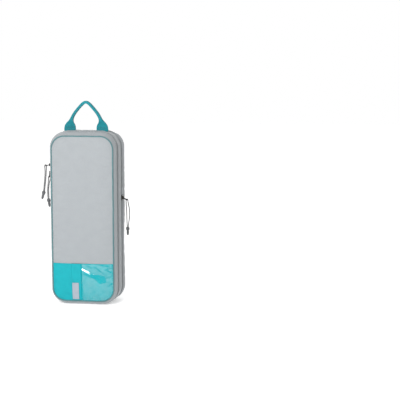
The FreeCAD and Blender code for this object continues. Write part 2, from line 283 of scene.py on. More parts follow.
def clear_vinyl(name):
    """Clear flexible vinyl film: it lets most light through and mirrors a little, as a thin sheet does.

    Where the film clings to the cloth, its haze attribute is low and it mirrors less.
    """
    material, tree, shader = new_material(name, "#FFFFFF", 0.1, Metallic=1.0)
    place = add(tree, "TexCoord").outputs["Object"]
    ripple = add(tree, "TexNoise", Vector=place, Scale=70.0, Detail=2.0, Distortion=0.6)
    bump = add(tree, "Bump", Strength=0.35, Distance=0.5 * MM, Height=ripple).outputs[0]
    tree.links.new(bump, shader.inputs["Normal"])
    facing = add(tree, "LayerWeight", Blend=0.5, Normal=bump).outputs["Facing"]
    glancing = add(tree, "Math", facing, 5.0, operation="POWER")
    mirror = add(tree, "Math", glancing, 0.9, 0.085, operation="MULTIPLY_ADD")
    haze = add(tree, "Attribute", attribute_name="haze").outputs["Fac"]
    share = add(tree, "Math", mirror, haze, operation="MULTIPLY")
    tree.links.new(share.outputs[0], shader.inputs["Alpha"])
    return material


def braided(name, light, dark):
    """Braided polyester cord: strands crossing in a fine herringbone."""
    material, tree, shader = new_material(name, light, 0.6, Sheen_Weight=0.2)
    braid = 1.0 * MM
    x, y, z = add(tree, "SeparateXYZ", add(tree, "TexCoord").outputs["Object"]).outputs
    flat = add(tree, "Math", x, y, operation="ADD")
    rising = wave(tree, add(tree, "Math", z, flat, operation="ADD"), braid)
    falling = wave(tree, add(tree, "Math", z, flat, operation="SUBTRACT"), braid)
    crossing = add(tree, "Math", rising, falling, operation="MULTIPLY")
    share = add(tree, "Math", crossing, 0.5, 0.5, operation="MULTIPLY_ADD")
    surface(tree, shader, share, light, dark, crossing, 0.6, 0.2 * MM)
    return material


def make_materials():
    """Every finish, by the name that the pieces ask for."""
    return {
        "ripstop": ripstop("ripstop_polyester", "#9B9FA2", "#7B8083"),
        "teal_nylon": plain_weave("smooth_teal_nylon", "#0EA2AA", "#0A8B95", 0.5 * MM, 0.45, 0.0, 0.12, 0.2),
        "teal_webbing": ribbed_webbing("teal_nylon_webbing", "#0F8A95", "#096670"),
        "teal_piping": plain_weave("piping_cloth", "#587C7F", "#42666B", 0.6 * MM, 0.6),
        "zip_tape": plain_weave("woven_zip_tape", "#8C9193", "#797F81", 0.6 * MM, 0.65),
        "zip_coil": moulded("nylon_coil", "#8A9092", "#7A8082", 0.42),
        "binding": moulded("binding_tape_inside", "#9BA3A4", "#838B8C", 0.7),
        "tab": moulded("lining_tab_inside", "#A6ACAE", "#8E9496", 0.7),
        "lining": plain_weave("polyester_lining", "#A6ACAE", "#8E9496", 0.5 * MM, 0.65),
        "clear_film": clear_vinyl("clear_vinyl"),
        "grey_rubber": moulded("soft_grey_rubber", "#98A1AB", "#8A939D", 0.45),
        "gunmetal": plated_zinc("black_nickel_zinc"),
        "pull_cord": braided("braided_grey_cord", "#3D3E42", "#222326"),
        "moulded_stop": moulded("moulded_grey_stop", "#57595B", "#424446", 0.5),
        "thread": plain_weave("teal_thread", "#17818B", "#0F6670", 0.4 * MM, 0.5),
        "grey_thread": plain_weave("grey_thread", "#A9AFB1", "#8F9597", 0.4 * MM, 0.6),
    }


# ---------------------------------------------------------------- small tools


def finish_mesh(bm, name, material, smooth=True):
    """A mesh object from a bmesh, in the scene, with one material."""
    mesh = bpy.data.meshes.new(name)
    bm.to_mesh(mesh)
    bm.free()
    piece = bpy.data.objects.new(name, mesh)
    bpy.context.scene.collection.objects.link(piece)
    mesh.materials.append(material)
    if smooth:
        mesh.polygons.foreach_set("use_smooth", [True] * len(mesh.polygons))
    return piece


def applied(piece):
    """Apply every modifier of a piece to its mesh."""
    depsgraph = bpy.context.evaluated_depsgraph_get()
    mesh = bpy.data.meshes.new_from_object(piece.evaluated_get(depsgraph))
    old = piece.data
    piece.modifiers.clear()
    piece.data = mesh
    bpy.data.meshes.remove(old)
    return piece


def smoothed(piece):
    """One subdivision, so that cloth and webbing bend without corners."""
    smooth = piece.modifiers.new("smooth", "SUBSURF")
    smooth.levels = smooth.render_levels = 1


def thickened(piece, thickness, offset=-1):
    """A wall behind the outer face, or to both sides of it at offset 0."""
    wall = piece.modifiers.new("thickness", "SOLIDIFY")
    wall.thickness = thickness
    wall.offset = offset


def put(piece, body, slot, *nodes):
    """Ride on a body and stand for the named nodes. The slot is not used."""
    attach(piece, body)
    if nodes:
        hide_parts(*nodes)
    return piece


# ---------------------------------------------------------------- the stuffed cloth shell


def rounded(x, z):
    """A point of the plain rectangle, moved so that the rectangle's corners become round."""
    r = corner_radius
    a = (abs(x) - (half_width - r)) / r
    b = (abs(z) - (half_height - r)) / r
    if a > 0 and b > 0:
        a, b = a * math.sqrt(1 - b * b / 2), b * math.sqrt(1 - a * a / 2)
        x = math.copysign(half_width - r + a * r, x)
        z = math.copysign(half_height - r + b * r, z)
    return x, z


def grown(x, z, side, end):
    """A point of the seam's outline, moved out to the outline that is larger by side and end."""
    r = corner_radius
    big_r = r + (side + end) / 2
    cx, cz = half_width - r, half_height - r
    big_cx, big_cz = half_width + side - big_r, half_height + end - big_r
    if abs(x) > cx and abs(z) > cz:
        way = Vector((abs(x) - cx, abs(z) - cz)).normalized()
        new_x, new_z = big_cx + big_r * way.x, big_cz + big_r * way.y
    elif abs(x) > half_width - 1e-6:
        new_x, new_z = half_width + side, abs(z) * big_cz / cz
    else:
        new_x, new_z = abs(x) * big_cx / cx, half_height + end
    return math.copysign(new_x, x), math.copysign(new_z, z)


RING = 4 * (half_width + half_height - 2 * corner_radius) + 2 * math.pi * corner_radius


def ring_length(x, z):
    """How far along the seam's outline a point of it lies, from the middle of the top, clockwise."""
    r = corner_radius
    cx, cz = half_width - r, half_height - r
    if abs(x) > cx and abs(z) > cz:
        along = cx + math.atan2(abs(x) - cx, abs(z) - cz) * r
    elif abs(x) > half_width - 1e-6:
        along = RING / 4 - abs(z)
    else:
        along = abs(x)
    if z < 0:
        along = RING / 2 - along
    return along if x >= 0 else RING - along


def ring_place(s, side, end):
    """The point, outward direction and run direction at s along an outline grown by side and end."""
    r = corner_radius
    cx, cz = half_width - r, half_height - r
    big_r = r + (side + end) / 2
    big_cx, big_cz = half_width + side - big_r, half_height + end - big_r
    s = s % RING
    left = s > RING / 2
    s = RING - s if left else s
    low = s > RING / 4
    s = RING / 2 - s if low else s
    if s < cx:
        spot, out = Vector((s * big_cx / cx, 0, half_height + end)), Vector((0, 0, 1))
    elif s < RING / 4 - cz:
        turn = (s - cx) / r
        out = Vector((math.sin(turn), 0, math.cos(turn)))
        spot = Vector((big_cx, 0, big_cz)) + out * big_r
    else:
        spot, out = Vector((half_width + side, 0, (RING / 4 - s) * big_cz / cz)), Vector((1, 0, 0))
    if low:
        spot.z, out.z = -spot.z, -out.z
    if left:
        spot.x, out.x = -spot.x, -out.x
    spot.z += mid_z
    return spot, out, Vector((out.z, 0, -out.x))


def swell_at(y):
    """How far the cloth stands out at the sides and at the ends, at depth y."""
    front_round, rear_round = 15 * MM, 21 * MM
    if y <= main_zip_y:
        share = math.sin(math.pi / 2 * min(1, (y - front_seam_y) / front_round))
        return main_swell * share, end_swell * share
    if y <= main_zip_y + zip_half:
        return main_swell, end_swell
    if y < squeeze_zip_y - zip_half:
        share = (y - main_zip_y - zip_half) / (squeeze_zip_y - main_zip_y - 2 * zip_half)
        return main_swell + (squeeze_swell - main_swell) * share, end_swell
    share = math.sin(math.pi / 2 * min(1, (rear_seam_y - y) / rear_round))
    return squeeze_swell * share, end_swell * share


def steps(start, end, pitch):
    """Even positions after start up to end, about pitch apart."""
    count = max(1, round(abs(end - start) / pitch))
    return [start + (end - start) * (i + 1) / count for i in range(count)]


def spread(keys, pitch):
    """Positions from the first key to the last, with one on each key."""
    places = [keys[0]]
    for start, end in zip(keys, keys[1:]):
        places += steps(start, end, pitch)
    return places


CLOTH_PITCH = 3.2 * MM

# Each band of the shell, from the front seam back: its name and where it ends.
bands = [
    ("lid_gusset", main_zip_y - zip_half),
    ("main_zip_tape_front", main_zip_y - coil_gap),
    ("between_main_coils", main_zip_y + coil_gap),
    ("main_zip_tape_rear", main_zip_y + zip_half),
    ("middle_gusset", squeeze_zip_y - zip_half),
    ("compression_zip_tape_front", squeeze_zip_y - coil_gap),
    ("between_squeeze_coils", squeeze_zip_y + coil_gap),
    ("compression_zip_tape_rear", squeeze_zip_y + zip_half),
    ("rear_gusset", rear_seam_y),
]
part_names = ["front_panel", "lower_front_panel", "back_panel", "bottom_gusset"]
part_names += [name for name, _ in bands]


def panel_grid(bm, y, seam, uv, tag, facing):
    """A flat panel of squares with rounded corners, its columns and rows on the seams it needs."""
    columns = spread([-half_width, -fold_strip_half, fold_strip_half, half_width], CLOTH_PITCH)
    rows = spread([-half_height, seam_between_panels_z - mid_z, half_height], CLOTH_PITCH)
    nx, nz = len(columns) - 1, len(rows) - 1
    made = bmesh.ops.create_grid(bm, x_segments=nx, y_segments=nz, size=0.5)["verts"]
    for vert in made:
        column = round((vert.co.x + 0.5) * nx)
        row = round((vert.co.y + 0.5) * nz)
        x, z = rounded(columns[column], rows[row])
        vert.co = (x, y, z + mid_z)
        vert[seam] = (x, 0, z)
    faces = list({f for vert in made for f in vert.link_faces})
    for face in faces:
        if (face.normal.y if face.normal.length else 0) * facing > 0:
            face.normal_flip()
        lower = face.calc_center_median().z < seam_between_panels_z
        front = "lower_front_panel" if lower else "front_panel"
        face[tag] = part_names.index("back_panel" if y > 0 else front)
        for loop in face.loops:
            loop[uv].uv = (loop.vert.co.x, loop.vert.co.z)
    return [e for e in bm.edges if len(e.link_faces) == 1 and abs(e.verts[0].co.y - y) < 1e-7]


def shell_bmesh():
    """The closed shell before it is stuffed: front panel, side bands and back panel in one mesh."""
    bm = bmesh.new()
    seam = bm.verts.layers.float_vector.new("seam")
    uv = bm.loops.layers.uv.new("cloth")
    tag = bm.faces.layers.int.new("part")
    edges = panel_grid(bm, front_seam_y, seam, uv, tag, 1)
    start = front_seam_y
    for name, finish in bands:
        for y in steps(start, finish, 3.4 * MM):
            side, end = swell_at(y)
            made = bmesh.ops.extrude_edge_only(bm, edges=edges)["geom"]
            for vert in [g for g in made if isinstance(g, bmesh.types.BMVert)]:
                x, z = grown(vert[seam].x, vert[seam].z, side, end)
                vert.co = (x, y, z + mid_z)
            for face in [g for g in made if isinstance(g, bmesh.types.BMFace)]:
                label_band(face, name, seam, uv, tag)
            edges = [g for g in made if isinstance(g, bmesh.types.BMEdge)
                     and all(abs(v.co.y - y) < 1e-7 for v in g.verts)]
        start = finish
    panel_grid(bm, rear_seam_y, seam, uv, tag, -1)
    bmesh.ops.remove_doubles(bm, verts=bm.verts[:], dist=0.05 * MM)
    bmesh.ops.recalc_face_normals(bm, faces=bm.faces[:])
    return bm


def label_band(face, name, seam, uv, tag):
    """Which part a face of the side bands belongs to, and its UV along and across the band."""
    middle = sum((loop.vert[seam] for loop in face.loops), Vector()) / len(face.loops)
    under = middle.z < -half_height + 1e-4 and abs(middle.x) < fold_strip_half
    in_front = name in ("lid_gusset", "main_zip_tape_front", "between_main_coils", "main_zip_tape_rear")
    face[tag] = part_names.index("bottom_gusset" if under and in_front else name)
    first = None
    for loop in face.loops:
        run = ring_length(loop.vert[seam].x, loop.vert[seam].z)
        first = run if first is None else first
        if run - first > RING / 2:
            run -= RING
        elif first - run > RING / 2:
            run += RING
        loop[uv].uv = (run, loop.vert.co.y)


def held_weight(vert):
    """How firmly the stuffing leaves a point where it was cut: seams and zips stay put."""
    y = vert.co.y
    if y < front_seam_y + 1e-5 or y > rear_seam_y - 1e-5:
        x = abs(vert.co.x) - half_width + corner_radius
        z = abs(vert.co.z - mid_z) - half_height + corner_radius
        rim = corner_radius - (math.hypot(x, z) if x > 0 and z > 0 else max(x, z))
        return 1.0 if rim < 0.2 * MM else 0.0
    for zip_y in (main_zip_y, squeeze_zip_y):
        if abs(y - zip_y) < zip_half + 0.1 * MM:
            return 1.0
    return 0.0


def capped(move, most):
    """A move shortened smoothly so that it never passes most."""
    size = move.length
    return move * (math.tanh(size / most) * most / size) if size > 1e-9 else move


# How far each band is pushed out between its seams, at the sides, in millimetres.
band_bulges = {(front_seam_y, main_zip_y - zip_half): 0.8,
               (main_zip_y + zip_half, squeeze_zip_y - zip_half): 0.7,
               (squeeze_zip_y + zip_half, rear_seam_y): 3.4}


def stuffing(spot):
    """What folded clothes inside add to the side bands: a swell that varies along the height.

    The rear band is fullest on the right, beside the compression slider.
    """
    fullest_z, reach = 190 * MM, 35 * MM
    if abs(spot.x) < half_width - corner_radius * 0.3:
        return Vector()
    for (start, finish), bulge in band_bulges.items():
        if start < spot.y < finish:
            share = math.sin(math.pi * (spot.y - start) / (finish - start))
            uneven = 0.85 + 0.5 * noise.noise(Vector((spot.x * 3, spot.y * 25, spot.z * 11)))
            if spot.x > 0 and finish == rear_seam_y:
                uneven += 0.35 * math.exp(-((spot.z - fullest_z) / reach) ** 2)
            return Vector((math.copysign(bulge * MM * share * uneven, spot.x), 0, 0))
    return Vector()


def stuffed_shell():
    """The shell filled out by pressure, as the folded clothes inside do."""
    last_frame = 22
    panel_most, band_most = 5 * MM, 3 * MM
    bm = shell_bmesh()
    rest = [v.co.copy() for v in bm.verts]
    held = [held_weight(v) for v in bm.verts]
    shell = finish_mesh(bm, "stuffed_shell", materials["ripstop"])
    group = shell.vertex_groups.new(name="held")
    for number, weight in enumerate(held):
        if weight:
            group.add([number], weight, "REPLACE")
    cloth = shell.modifiers.new("cloth", "CLOTH")
    settings = cloth.settings
    settings.quality = 6
    settings.mass = 0.25
    settings.tension_stiffness = 12
    settings.compression_stiffness = 12
    settings.shear_stiffness = 4
    settings.bending_stiffness = 0.25
    settings.use_pressure = True
    settings.uniform_pressure_force = 4
    settings.shrink_min = -0.012
    settings.vertex_group_mass = "held"
    settings.effector_weights.gravity = 0
    cloth.point_cache.frame_start = 1
    cloth.point_cache.frame_end = last_frame
    for number in range(1, last_frame + 1):
        bpy.context.scene.frame_set(number)
    applied(shell)
    bpy.context.scene.frame_set(1)
    for vert, start in zip(shell.data.vertices, rest):
        panel = start.y < front_seam_y + 1e-5 or start.y > rear_seam_y - 1e-5
        move = capped(vert.co - start, panel_most if panel else band_most)
        vert.co = start + move + stuffing(start)
        vert.co.z = max(vert.co.z, 0.2 * MM)
    shell.data.update()
    return shell


# The finish and the body of each part of the shell.
shell_parts = {
    "front_panel": ("ripstop", "lid"),
    "lower_front_panel": ("teal_nylon", "lid"),
    "back_panel": ("ripstop", "rear_shell"),
    "bottom_gusset": ("ripstop", "front_frame"),
    "lid_gusset": ("ripstop", "lid"),
    "main_zip_tape_front": ("zip_tape", "lid"),
    "main_zip_tape_rear": ("zip_tape", "front_frame"),
    "middle_gusset": ("ripstop", "front_frame"),
    "compression_zip_tape_front": ("zip_tape", "front_frame"),
    "compression_zip_tape_rear": ("zip_tape", "rear_shell"),
    "rear_gusset": ("ripstop", "rear_shell"),
}


def cut_part(shell, name, slot, body):
    """One part of the shell as its own cloth, with a thickness."""
    bm = bmesh.new()
    bm.from_mesh(shell.data)
    tag = bm.faces.layers.int["part"]
    number = part_names.index(name)
    bmesh.ops.delete(bm, geom=[f for f in bm.faces if f[tag] != number], context="FACES")
    if "tape" in name:
        sunk = 0.7 * MM     # below the coils that are sewn on it
        bm.normal_update()
        for vert in bm.verts:
            vert.co -= vert.normal * sunk
    piece = finish_mesh(bm, name + "_cloth", materials[slot])
    smoothed(piece)
    thickened(piece, 0.9 * MM)
    applied(piece)
    return put(piece, body, slot, name)


# ---------------------------------------------------------------- things laid on the front


def front_surface(tree):
    """A function that gives the height of the front cloth, as y, at x and z."""

    def at(x, z):
        hit = tree.ray_cast(Vector((x, -0.2, z)), Vector((0, 1, 0)))[0]
        return hit.y if hit else front_seam_y

    return at


def flat_sheet(x0, x1, z0, z1, pitch):
    """A grid of squares in the plane of the front, with a UV map in metres."""
    nx = max(1, round((x1 - x0) / pitch))
    nz = max(1, round((z1 - z0) / pitch))
    bm = bmesh.new()
    uv = bm.loops.layers.uv.new("cloth")
    bmesh.ops.create_grid(bm, x_segments=nx, y_segments=nz, size=0.5)
    for vert in bm.verts:
        vert.co = (x0 + (vert.co.x + 0.5) * (x1 - x0), 0, z0 + (vert.co.y + 0.5) * (z1 - z0))
    bmesh.ops.recalc_face_normals(bm, faces=bm.faces[:])
    for face in bm.faces:
        face.normal_update()
        if face.normal.y > 0:
            face.normal_flip()
        for loop in face.loops:
            loop[uv].uv = (loop.vert.co.x, loop.vert.co.z)
    return bm


def trim_to_outline(bm, inset):
    """Take away what lies outside the front seam's outline, less inset, and round the edge."""
    r = corner_radius - inset
    cx, cz = half_width - corner_radius, half_height - corner_radius
    for vert in bm.verts:
        x, z = vert.co.x, vert.co.z - mid_z
        a, b = abs(x) - cx, abs(z) - cz
        if a > 0 and b > 0 and math.hypot(a, b) > r:
            scale = r / math.hypot(a, b)
            vert.co.x = math.copysign(cx + a * scale, x)
            vert.co.z = mid_z + math.copysign(cz + b * scale, z)


def lay(bm, height_at, lift):
    """Lay a flat sheet on the front cloth, lift(x, z) above it."""
    for vert in bm.verts:
        vert.co.y = height_at(vert.co.x, vert.co.z) - lift(vert.co.x, vert.co.z)


def along_line(x, z, line):
    """How far along a line a point is, from 0 to 1, and how far to its upper side."""
    start, end, here = Vector(line[:2]), Vector(line[2:4]), Vector((x, z))
    run = end - start
    share = (here - start).dot(run) / run.length_squared
    aside = (here - start - run * share).dot(Vector((-run.y, run.x)).normalized())
    return share, aside


def ends_fade(share, start=0.2, end=0.3):
    """From 0 at both ends of a line to 1 between them, over these shares of its length."""
    rise = min(1.0, max(0.0, share / start), max(0.0, (1 - share) / end))
    return rise * rise * (3 - 2 * rise)


def ridge(aside, upper, lower):
    """The section of a crease: a long even slope above it and a short rounded one below it."""
    if aside > 0:
        even = max(0.0, 1 - aside / upper)
        return even - 0.12 * math.exp(-(aside / (0.22 * upper)) ** 2)
    rounded_slope = max(0.0, 1 + aside / lower)
    return 0.88 * rounded_slope * rounded_slope * (3 - 2 * rounded_slope)


# Creases of the film, in millimetres: x0, z0, x1, z1, height, width of the upper slope, of the lower.
window_creases = [
    (-11, 79.5, 40, 54.5, 3.0, 6.0, 2.8),
    (22, 84, 52, 62, 1.0, 3.0, 4.0),
    (48, 78, 62, 64, 0.7, 3.5, 4.0),
    (2, 46, 34, 24, 0.6, 6.0, 6.0),
    (34, 40, 60, 24, 0.7, 5.0, 4.0),
    (6, 86, 22, 78, 0.8, 2.0, 2.5),
    (40, 18, 58, 21, 0.8, 2.0, 3.0),
]

# Where the film clings to the cloth behind it: x0, z0, x1, z1 and half its width, in millimetres,
# and the shares of its length over which it widens and narrows.
clinging = [
    (-6, 72, 49, 53, 3.8, 0.4, 0.35),
    (13, 69, 53, 51, 9.4, 0.7, 0.3),
    (34, 87.5, 63, 85.5, 1.5, 0.4, 0.35),
    (-1, 57, 0.5, 12, 1.2, 0.4, 0.35),
    (55, 76, 63, 70, 1.6, 0.4, 0.35),
]


def window_lift(x, z):
    """How far the film stands off the cloth: 1 mm, waves and creases."""
    x, z = x / MM, z / MM
    total = 1.0 + 0.35 * noise.noise(Vector((x * 0.06, z * 0.06, 3.1)))
    for *line, height, upper, lower in window_creases:
        share, aside = along_line(x, z, line)
        total += height * ends_fade(share) * ridge(aside, upper, lower)
    return total * MM


def window_haze(x, z):
    """How much the film mirrors, from 0 to about 1: less where it clings to the cloth."""
    blur = 1.6
    x, z = x / MM, z / MM
    haze = 1.0 + 0.35 * noise.noise(Vector((x * 0.11, z * 0.11, 8.0)))
    for *line, half, start, end in clinging:
        share, aside = along_line(x, z, line)
        inside = ends_fade(share, start, end) * half - abs(aside)
        haze *= 1 - 0.92 * min(1.0, max(0.0, 0.5 + inside / blur))
    return max(0.0, haze)


def make_window(height_at):
    """The film over the right part of the lower panel, up to the piping."""
    low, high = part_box("clear_window")
    inset = 2.2 * MM
    bm = flat_sheet(low.x, half_width - inset, low_seam_z + inset, high.z, 1.3 * MM)
    trim_to_outline(bm, inset)
    lay(bm, height_at, window_lift)
    haze = bm.verts.layers.float.new("haze")
    for vert in bm.verts:
        vert[haze] = window_haze(vert.co.x, vert.co.z)
    piece = finish_mesh(bm, "clear_window_film", materials["clear_film"])
    return put(piece, "lid", "clear_film", "clear_window")


def make_strip(height_at):
    """The upright binding of the window's left edge, thinner at its own edges."""
    low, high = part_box("window_strip")

    def lift(x, z):
        edge = min(x - low.x, high.x - x) / (1.5 * MM)
        return (0.5 + 0.5 * min(1, edge) + 0.25 * noise.noise(Vector((x * 40, z * 25, 0)))) * MM

    bm = flat_sheet(low.x, high.x, low_seam_z + 2 * MM, high.z, 1.5 * MM)
    lay(bm, height_at, lift)
    piece = finish_mesh(bm, "window_strip_cloth", materials["teal_nylon"])
    thickened(piece, 0.5 * MM)
    applied(piece)
    return put(piece, "lid", "teal_nylon", "window_strip")


def make_label(height_at):
    """A small plain rubber tab with a raised rim."""
    low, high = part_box("label_tab")
    bm = flat_sheet(low.x, high.x, low.z, high.z, 1.0 * MM)
    rim = 1.6 * MM

    def lift(x, z):
        inside = min(x - low.x, high.x - x, z - low.z, high.z - z)
        step = min(1, max(0, (inside - rim * 0.6) / (rim * 0.5)))
        return (2.1 - 0.45 * step) * MM

    lay(bm, height_at, lift)
    piece = finish_mesh(bm, "plain_label_tab", materials["grey_rubber"])
    thickened(piece, 1.0 * MM)
    soft = piece.modifiers.new("edge", "BEVEL")
    soft.width = 0.3 * MM
    soft.segments = 2
    applied(piece)
    return put(piece, "lid", "grey_rubber", "label_tab")


# ---------------------------------------------------------------- stitches, piping and coils


def stitch_row(bm, spots, width=0.45 * MM, thickness=0.35 * MM):
    """Short threads, one for each (centre, out, along, length)."""
    for centre, out, along, length in spots:
        across = out.cross(along).normalized()
        frame3 = Matrix((along * length, across * width, out * thickness)).transposed()
        bmesh.ops.create_cube(bm, size=1, matrix=Matrix.Translation(centre) @ frame3.to_4x4())


def finish_small(bm, name, material, bevel):
    """A mesh object of many small blocks, their edges bevelled."""
    bmesh.ops.bevel(bm, geom=bm.edges[:], offset=bevel, offset_type="OFFSET", segments=1, profile=0.5,
                    affect="EDGES", material=-1)
    bmesh.ops.recalc_face_normals(bm, faces=bm.faces[:])
    return finish_mesh(bm, name, material)


def ring_stitches(name, y, body, tree):
    """Topstitching right round a band at depth y, on the cloth."""
    bm = bmesh.new()
    pitch = 3.6 * MM
    side, end = swell_at(y)
    spots = []
    for number in range(int(RING / pitch)):
        spot, out, run = ring_place(number * pitch, side, end)
        spot.y = y
        place, facing, _, _ = tree.ray_cast(spot + out * 20 * MM, -out)
        if spot.z > 2 * MM and place:
            spots.append((place + facing * 0.05 * MM, facing, run, pitch * 0.68))
    stitch_row(bm, spots)
    piece = finish_small(bm, name, materials["grey_thread"], 0.1 * MM)
    return put(piece, body, "zip_tape")


def seam_stitches(height_at):
    """Topstitching on the front panel, just above its seam with the lower panel."""
    bm = bmesh.new()
    pitch = 3.4 * MM
    reach = half_width - 4 * MM
    z = seam_between_panels_z + 1.6 * MM
    spots = []
    for number in range(int(2 * reach / pitch)):
        x = -reach + (number + 0.5) * pitch
        place = Vector((x, height_at(x, z) - 0.25 * MM, z))
        spots.append((place, Vector((0, -1, 0)), Vector((1, 0, 0)), pitch * 0.68))
    stitch_row(bm, spots)
    piece = finish_small(bm, "panel_seam_stitches", materials["grey_thread"], 0.1 * MM)
    return put(piece, "lid", "zip_tape")


def make_piping(name, y, body, node):
    """A cloth-covered cord sewn into the seam, a little uneven along its run."""
    curve = bpy.data.curves.new(name, "CURVE")
    curve.dimensions = "3D"
    spline = curve.splines.new("POLY")
    count = 360
    spline.points.add(count - 1)
    for number, point in enumerate(spline.points):
        s = RING * number / count
        spot, out, _ = ring_place(s, 0, 0)
        turn = 2 * math.pi * number / count
        wobble = 0.35 * MM * noise.noise(Vector((math.cos(turn) * 9, math.sin(turn) * 9, y * 50)))
        spot = spot + out * wobble
        point.co = (spot.x, y, spot.z, 1)
        point.radius = 1 + 0.08 * noise.noise(Vector((s * 120, 0, 5)))
    spline.use_cyclic_u = True
    curve.bevel_depth = piping_radius * 0.94     # the CAD piping is a little fuller
    curve.bevel_resolution = 3
    holder = bpy.data.objects.new(name, curve)
    bpy.context.scene.collection.objects.link(holder)
    mesh = bpy.data.meshes.new_from_object(holder.evaluated_get(bpy.context.evaluated_depsgraph_get()))
    bpy.data.objects.remove(holder)
    bm = bmesh.new()
    bm.from_mesh(mesh)
    uv = bm.loops.layers.uv.verify()
    for face in bm.faces:
        for loop in face.loops:
            co = loop.vert.co
            loop[uv].uv = (co.x + co.z, co.y + co.x)
    bmesh.ops.recalc_face_normals(bm, faces=bm.faces[:])
    piece = finish_mesh(bm, name, materials["teal_piping"])
    return put(piece, body, "teal_piping", node)


def coil_teeth(name, zip_y, half, swell, body, node, whole):
    """One side of a nylon coil: a loop of monofilament for each stitch of the tape.

    half is -1 or 1, the coil's side of the zip. Unless it is whole, it leaves out the fold strip.
    """
    bm = bmesh.new()
    pitch = 1.5 * MM
    offset = 0 if half < 0 else pitch / 2
    for number in range(int(RING / pitch)):
        s = number * pitch + offset
        spot, out, run = ring_place(s, swell, end_swell)
        if not whole and spot.z < 4 * MM and abs(spot.x) < fold_strip_half:
            continue
        centre = Vector((spot.x, zip_y + half * 1.15 * MM, spot.z)) - out * 0.95 * MM
        size = Matrix((run * 0.95 * MM, Vector((0, 2.6 * MM, 0)), out * 1.5 * MM)).transposed()
        lean = Matrix.Rotation(math.radians(9 * half), 3, out)
        bmesh.ops.create_cube(bm, size=1, matrix=Matrix.Translation(centre) @ (lean @ size).to_4x4())
    piece = finish_small(bm, name, materials["zip_coil"], 0.3 * MM)
    return put(piece, body, "zip_coil", node)


# ---------------------------------------------------------------- the expansion fold


def make_expansion_fold():
    """The band that lets the depth out: folded inwards behind the compression zip."""
    low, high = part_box("expansion_gusset")
    bm = bmesh.new()
    seam = bm.verts.layers.float_vector.new("seam")
    uv = bm.loops.layers.uv.new("cloth")
    tag = bm.faces.layers.int.new("part")
    panel_grid(bm, high.y, seam, uv, tag, 1)
    bmesh.ops.delete(bm, geom=bm.faces[:], context="FACES_KEEP_BOUNDARY")
    edges = bm.edges[:]
    inset, depth, layers = 3.4 * MM, 11 * MM, 12
    for vert in bm.verts:
        x, z = grown(vert[seam].x, vert[seam].z, squeeze_swell - inset, end_swell - inset)
        vert.co = (x, high.y, z + mid_z)
    for number in range(1, layers + 1):
        share = number / layers
        y = high.y + (low.y - high.y) * share
        inward = inset + depth * (1 - abs(2 * share - 1))
        made = bmesh.ops.extrude_edge_only(bm, edges=edges)["geom"]
        for vert in [g for g in made if isinstance(g, bmesh.types.BMVert)]:
            x, z = grown(vert[seam].x, vert[seam].z, squeeze_swell - inward, end_swell - inward)
            vert.co = (x, y, z + mid_z)
        for face in [g for g in made if isinstance(g, bmesh.types.BMFace)]:
            for loop in face.loops:
                run = ring_length(loop.vert[seam].x, loop.vert[seam].z)
                loop[uv].uv = (run, share * depth * 2)
        edges = [g for g in made if isinstance(g, bmesh.types.BMEdge)
                 and all(abs(v.co.y - y) < 1e-7 for v in g.verts)]
    bmesh.ops.recalc_face_normals(bm, faces=bm.faces[:])
    piece = finish_mesh(bm, "expansion_fold_cloth", materials["lining"])
    thickened(piece, 0.4 * MM, 0)
    applied(piece)
    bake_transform(piece)
    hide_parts("expansion_gusset")
    return piece


# ---------------------------------------------------------------- the handle

handle_low, handle_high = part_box("handle_strap")
handle_y = (handle_low.y + handle_high.y) / 2
handle_base = high_seam_z + end_swell
handle_shift = 1.5 * MM     # sewn on a little to the right of the middle
foot_x = 35.0
grip_width = 6.2            # once it is folded

# Along one leg, from the foot to the middle: x, z, width across, depth and lean in degrees.
leg_stations = [
    (35.0, -3.0, 25.0, 1.8, 0),
    (35.0, 2.0, 25.4, 1.9, 0),
    (34.9, 7.0, 25.4, 2.3, 0),
    (34.5, 11.5, 23.2, 3.2, 3),
    (33.7, 15.5, 18.4, 4.9, 8),
    (32.8, 19.0, 12.2, 7.2, 14),
    (31.7, 22.8, 7.8, 9.4, 20),
    (29.8, 28.0, 6.2, 10.6, 27),
    (26.4, 34.6, 6.0, 10.9, 34),
    (21.4, 41.3, 6.0, 11.0, 39),
    (16.0, 47.8, 6.0, 11.0, 41),
    (10.6, 53.8, 6.0, 11.0, 43),
    (6.3, 58.0, 6.1, 11.0, 51),
    (2.4, 60.6, 6.2, 11.0, 74),
]


def webbing_section(angle, across, deep):
    """A point of the strap's section: flat webbing, rounder where it is folded."""
    flat = min(1.0, across / 24.0)
    power = 0.28 + 0.3 * (1 - flat)
    c, s = math.cos(angle), math.sin(angle)
    u = math.copysign(abs(c) ** power, c) * across / 2
    v = math.copysign(abs(s) ** power, s) * deep / 2
    folded = max(0.0, 1 - abs(across - grip_width) / 6)
    groove = 0.55 * folded * math.exp(-((angle - 1.5 * math.pi) / 0.28) ** 2)
    return u, v + groove


